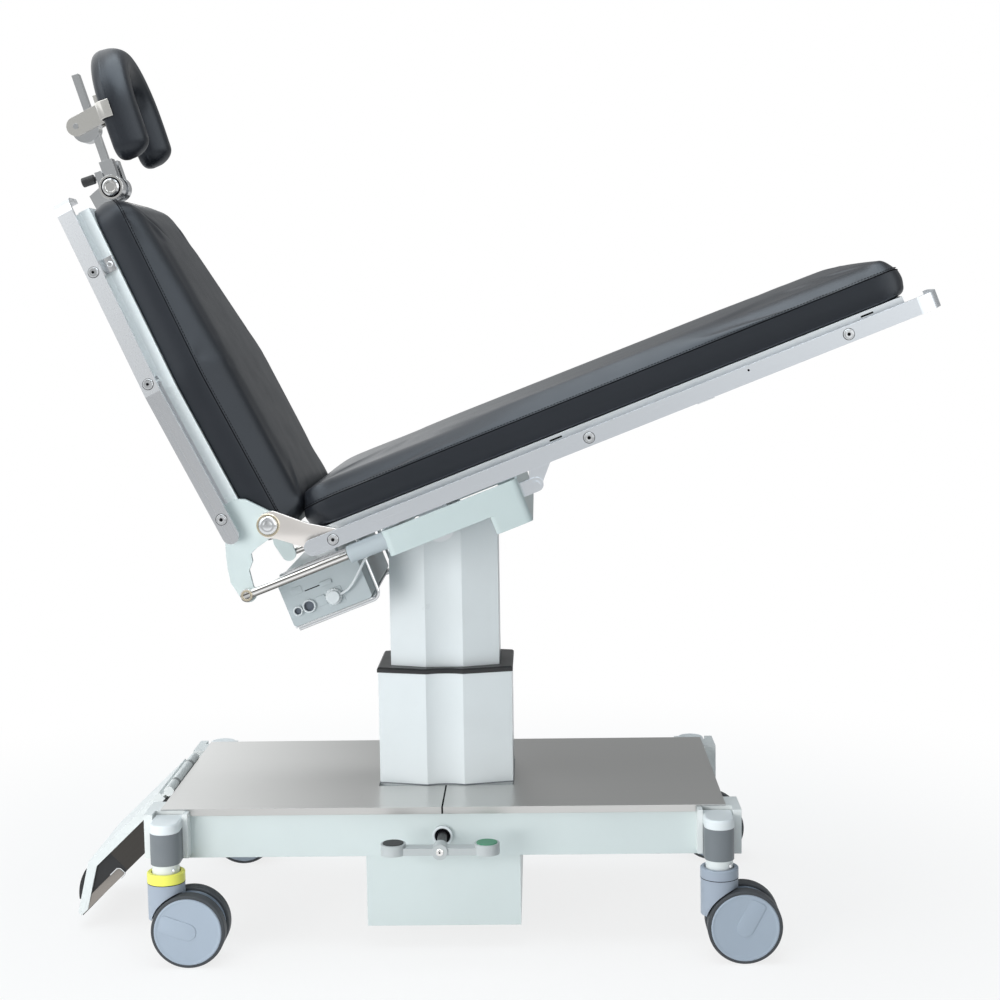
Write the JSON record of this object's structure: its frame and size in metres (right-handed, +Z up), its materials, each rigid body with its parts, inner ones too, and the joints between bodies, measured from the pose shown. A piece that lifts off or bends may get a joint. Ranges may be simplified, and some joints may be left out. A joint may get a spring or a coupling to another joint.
{
  "type": "operating table",
  "caption": "Wheeled treatment and operating table with a lifting column, a tilting padded seat, a raised back, side rails and a horseshoe headrest.",
  "frame": {"origin": "on the floor under the column's axis, in the table's plane of symmetry", "axes": "+X from the head end towards the foot end, +Y across the table, +Z up"},
  "size_m": [1.4979, 0.662, 1.5629],
  "materials": {
    "white_paint": "satin",
    "sage_paint": "satin",
    "beige_paint": "satin",
    "cover_steel": "brushed",
    "rail_steel": "brushed",
    "bright_steel": "polished",
    "bracket_grey": "satin",
    "sleeve_grey": "satin",
    "caster_grey": "satin",
    "wheel_grey": "satin",
    "tread_grey": "matte",
    "ring_yellow": "satin",
    "cap_white": "gloss",
    "black_plastic": "satin",
    "brake_green": "satin",
    "black_rubber": "matte",
    "box_grey": "satin",
    "lead_white": "satin",
    "black_vinyl": "satin"
  },
  "bodies": {
    "base": {"base_covers": "cover_steel", "base_frame": "sage_paint", "power_box": "sage_paint", "corner_brackets": "white_paint", "caster_sleeves": "sleeve_grey", "caster_caps": "cap_white", "brake_bush": "sleeve_grey", "foot_control_bracket": "bracket_grey", "column_shroud": "white_paint", "column_collar": "black_plastic", "lift_cylinder": "bright_steel"},
    "column": {"column_inner": "white_paint", "column_head": "bracket_grey"},
    "seat": {"seat_frame": "sage_paint", "seat_rails": "rail_steel", "seat_fasteners": "bright_steel", "seat_hinge_plates": "beige_paint", "tilt_cover": "sage_paint", "tilt_clevises": "rail_steel", "actuator_sleeves": "sleeve_grey", "control_box": "box_grey", "control_tray": "white_paint", "control_sockets": "black_plastic", "control_plug": "lead_white", "control_lead": "lead_white", "seat_cushion": "black_vinyl"},
    "rods": {"actuator_rods": "bright_steel"},
    "back": {"back_frame": "beige_paint", "back_rails": "rail_steel", "back_cranks": "white_paint", "back_fasteners": "bright_steel", "hinge_pins": "bright_steel", "back_cushion": "black_vinyl", "head_mount": "beige_paint"},
    "head_arm": {"head_arm": "bright_steel"},
    "head_knob": {"head_knob": "black_plastic"},
    "head_slider": {"head_slider": "bright_steel"},
    "head_yoke": {"head_yoke": "rail_steel", "head_pad": "black_vinyl"},
    "brake": {"brake_lever": "bracket_grey", "brake_pad_black": "black_rubber", "brake_pad_green": "brake_green"},
    "foot_control": {"foot_control_shell": "white_paint", "foot_control_box": "cover_steel", "foot_control_base": "black_rubber"},
    "pedal_lift": {"foot_pedal_lift": "black_rubber"},
    "pedal_back": {"foot_pedal_back": "black_rubber"},
    "swivel_head_near": {"caster_housing_head_near": "caster_grey", "caster_ring_head_near": "ring_yellow"},
    "wheels_head_near": {"caster_wheels_head_near": "wheel_grey", "caster_tyres_head_near": "tread_grey"},
    "swivel_head_far": {"caster_housing_head_far": "caster_grey"},
    "wheels_head_far": {"caster_wheels_head_far": "wheel_grey", "caster_tyres_head_far": "tread_grey"},
    "swivel_foot_near": {"caster_housing_foot_near": "caster_grey"},
    "wheels_foot_near": {"caster_wheels_foot_near": "wheel_grey", "caster_tyres_foot_near": "tread_grey"},
    "swivel_foot_far": {"caster_housing_foot_far": "caster_grey"},
    "wheels_foot_far": {"caster_wheels_foot_far": "wheel_grey", "caster_tyres_foot_far": "tread_grey"}
  },
  "joints": [
    {"name": "column_lift", "type": "slide", "parent": "base", "child": "column", "axis": [0, 0, 1], "range_m": [-0.09, 0.12]},
    {"name": "table_tilt", "type": "hinge", "parent": "column", "child": "seat", "pos_m": [-0.00058, 0, 0.72086], "axis": [0, 1, 0], "range_deg": [-3, 21]},
    {"name": "back_hinge", "type": "hinge", "parent": "seat", "child": "back", "pos_m": [-0.28, 0, 0.74], "axis": [0, 1, 0], "range_deg": [-84, 0]},
    {"name": "actuator_slide", "type": "slide", "parent": "seat", "child": "rods", "axis": [0.9336, 0, 0.3584], "range_m": [0, 0.165]},
    {"name": "head_arm_hinge", "type": "hinge", "parent": "back", "child": "head_arm", "pos_m": [-0.57462, 0, 1.31603], "axis": [0, 1, 0], "range_deg": [-40, 25]},
    {"name": "head_knob_turn", "type": "hinge", "parent": "head_arm", "child": "head_knob", "pos_m": [-0.61427, -0.022, 1.32869], "axis": [-0.9537, 0, -0.3007], "range_deg": [-170, 170]},
    {"name": "head_slide", "type": "slide", "parent": "head_arm", "child": "head_slider", "axis": [-0.3007, 0, 0.9537], "range_m": [-0.035, 0.06]},
    {"name": "head_pad_tilt", "type": "hinge", "parent": "head_slider", "child": "head_yoke", "pos_m": [-0.6358, 0, 1.42361], "axis": [0, 1, 0], "range_deg": [-12, 20]},
    {"name": "brake_rock", "type": "hinge", "parent": "base", "child": "brake", "pos_m": [0, -0.32, 0.201], "axis": [0, 1, 0], "range_deg": [-12, 12]},
    {"name": "foot_control_swing", "type": "hinge", "parent": "base", "child": "foot_control", "pos_m": [-0.492, 0, 0.25], "axis": [0, 1, 0], "range_deg": [0, 40]},
    {"name": "pedal_lift_rock", "type": "hinge", "parent": "foot_control", "child": "pedal_lift", "pos_m": [-0.65315, -0.058, 0.07653], "axis": [0, 1, 0], "range_deg": [-3, 3], "stiffness_Nm_per_rad": 4},
    {"name": "pedal_back_rock", "type": "hinge", "parent": "foot_control", "child": "pedal_back", "pos_m": [-0.65315, 0.058, 0.07653], "axis": [0, 1, 0], "range_deg": [-3, 3], "stiffness_Nm_per_rad": 4},
    {"name": "swivel_head_near_turn", "type": "hinge", "parent": "base", "child": "swivel_head_near", "pos_m": [-0.466, -0.285, 0.14], "axis": [0, 0, 1], "continuous": true},
    {"name": "wheels_head_near_roll", "type": "hinge", "parent": "swivel_head_near", "child": "wheels_head_near", "pos_m": [-0.426, -0.285, 0.0625], "axis": [0, 1, 0], "continuous": true},
    {"name": "swivel_head_far_turn", "type": "hinge", "parent": "base", "child": "swivel_head_far", "pos_m": [-0.466, 0.285, 0.14], "axis": [0, 0, 1], "continuous": true},
    {"name": "wheels_head_far_roll", "type": "hinge", "parent": "swivel_head_far", "child": "wheels_head_far", "pos_m": [-0.426, 0.285, 0.0625], "axis": [0, 1, 0], "continuous": true},
    {"name": "swivel_foot_near_turn", "type": "hinge", "parent": "base", "child": "swivel_foot_near", "pos_m": [0.466, -0.285, 0.14], "axis": [0, 0, 1], "continuous": true},
    {"name": "wheels_foot_near_roll", "type": "hinge", "parent": "swivel_foot_near", "child": "wheels_foot_near", "pos_m": [0.506, -0.285, 0.0625], "axis": [0, 1, 0], "continuous": true},
    {"name": "swivel_foot_far_turn", "type": "hinge", "parent": "base", "child": "swivel_foot_far", "pos_m": [0.466, 0.285, 0.14], "axis": [0, 0, 1], "continuous": true},
    {"name": "wheels_foot_far_roll", "type": "hinge", "parent": "swivel_foot_far", "child": "wheels_foot_far", "pos_m": [0.506, 0.285, 0.0625], "axis": [0, 1, 0], "continuous": true}
  ],
  "couplings": [
    {"joint": "actuator_slide", "follows": "back_hinge", "m_per_rad": -0.11216}
  ]
}
